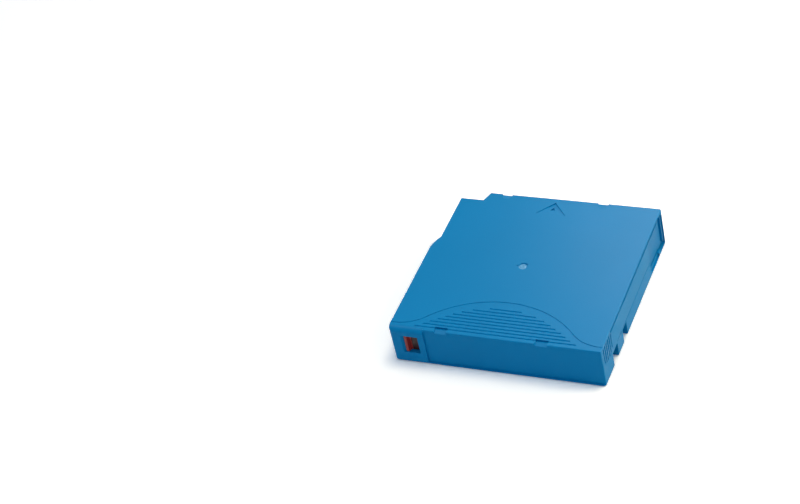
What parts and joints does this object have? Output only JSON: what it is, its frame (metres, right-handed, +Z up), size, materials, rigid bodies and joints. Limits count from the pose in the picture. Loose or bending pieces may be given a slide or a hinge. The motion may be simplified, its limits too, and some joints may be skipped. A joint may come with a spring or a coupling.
{
  "type": "data tape cartridge",
  "caption": "Flat square moulded case with one tape reel inside, a spring-closed side door at the front corner, a sliding write-protect tab and a reel brake.",
  "frame": {"origin": "middle of the underside of the case", "axes": "+Y is the way the cartridge goes into the drive, +X towards the door's side wall, +Z up through the top of the case"},
  "size_m": [0.1054, 0.102, 0.0215],
  "materials": {
    "case": "fine satin moulded plastic, blue",
    "door": "fine satin moulded plastic, blue",
    "tab": "satin red plastic",
    "spring": "drawn steel wire",
    "reel": "glass-filled light plastic",
    "steel": "plain steel",
    "tape": "edges of wound tape, near black",
    "leader": "polyester film, near black",
    "brake": "white acetal",
    "release": "natural acetal",
    "clip": "black acetal",
    "board": "green laminate",
    "chip": "black resin",
    "screw": "zinc-plated steel"
  },
  "bodies": {
    "case": {"top_shell": "case", "bottom_shell": "case", "door_spring": "spring", "brake_spring": "spring", "leader_pin": "steel", "leader_pin_clip": "clip", "leader_tape": "leader", "pin_spring_lower": "spring", "pin_spring_upper": "spring", "memory_board": "board", "memory_chip": "chip", "case_screw_1": "screw", "case_screw_2": "screw", "case_screw_3": "screw", "case_screw_4": "screw"},
    "door": {"door": "door"},
    "write_protect": {"write_protect_tab": "tab"},
    "reel": {"reel_hub": "reel", "reel_upper_flange": "reel", "clutch_plate": "steel", "tape_pack": "tape"},
    "brake": {"brake_button": "brake"},
    "release": {"brake_release": "release"}
  },
  "joints": [
    {"name": "door_slide", "type": "slide", "parent": "case", "child": "door", "axis": [0, -1, 0], "range_m": [0, 0.0218], "stiffness_N_per_m": 15, "springref_m": -0.02, "deforming": ["door_spring"]},
    {"name": "write_protect_slide", "type": "slide", "parent": "case", "child": "write_protect", "axis": [1, 0, 0], "range_m": [0, 0.0036]},
    {"name": "reel_spin", "type": "hinge", "parent": "case", "child": "reel", "pos_m": [-0.0016, 0.0005, 0.01], "axis": [0, 0, 1], "continuous": true},
    {"name": "brake_lift", "type": "slide", "parent": "case", "child": "brake", "axis": [0, 0, 1], "range_m": [0, 0.0022], "stiffness_N_per_m": 400, "springref_m": -0.008, "deforming": ["brake_spring"]},
    {"name": "release_lift", "type": "slide", "parent": "reel", "child": "release", "axis": [0, 0, 1], "range_m": [0, 0.0022]}
  ],
  "couplings": [
    {"joint": "release_lift", "follows": "brake_lift", "ratio": 1}
  ]
}
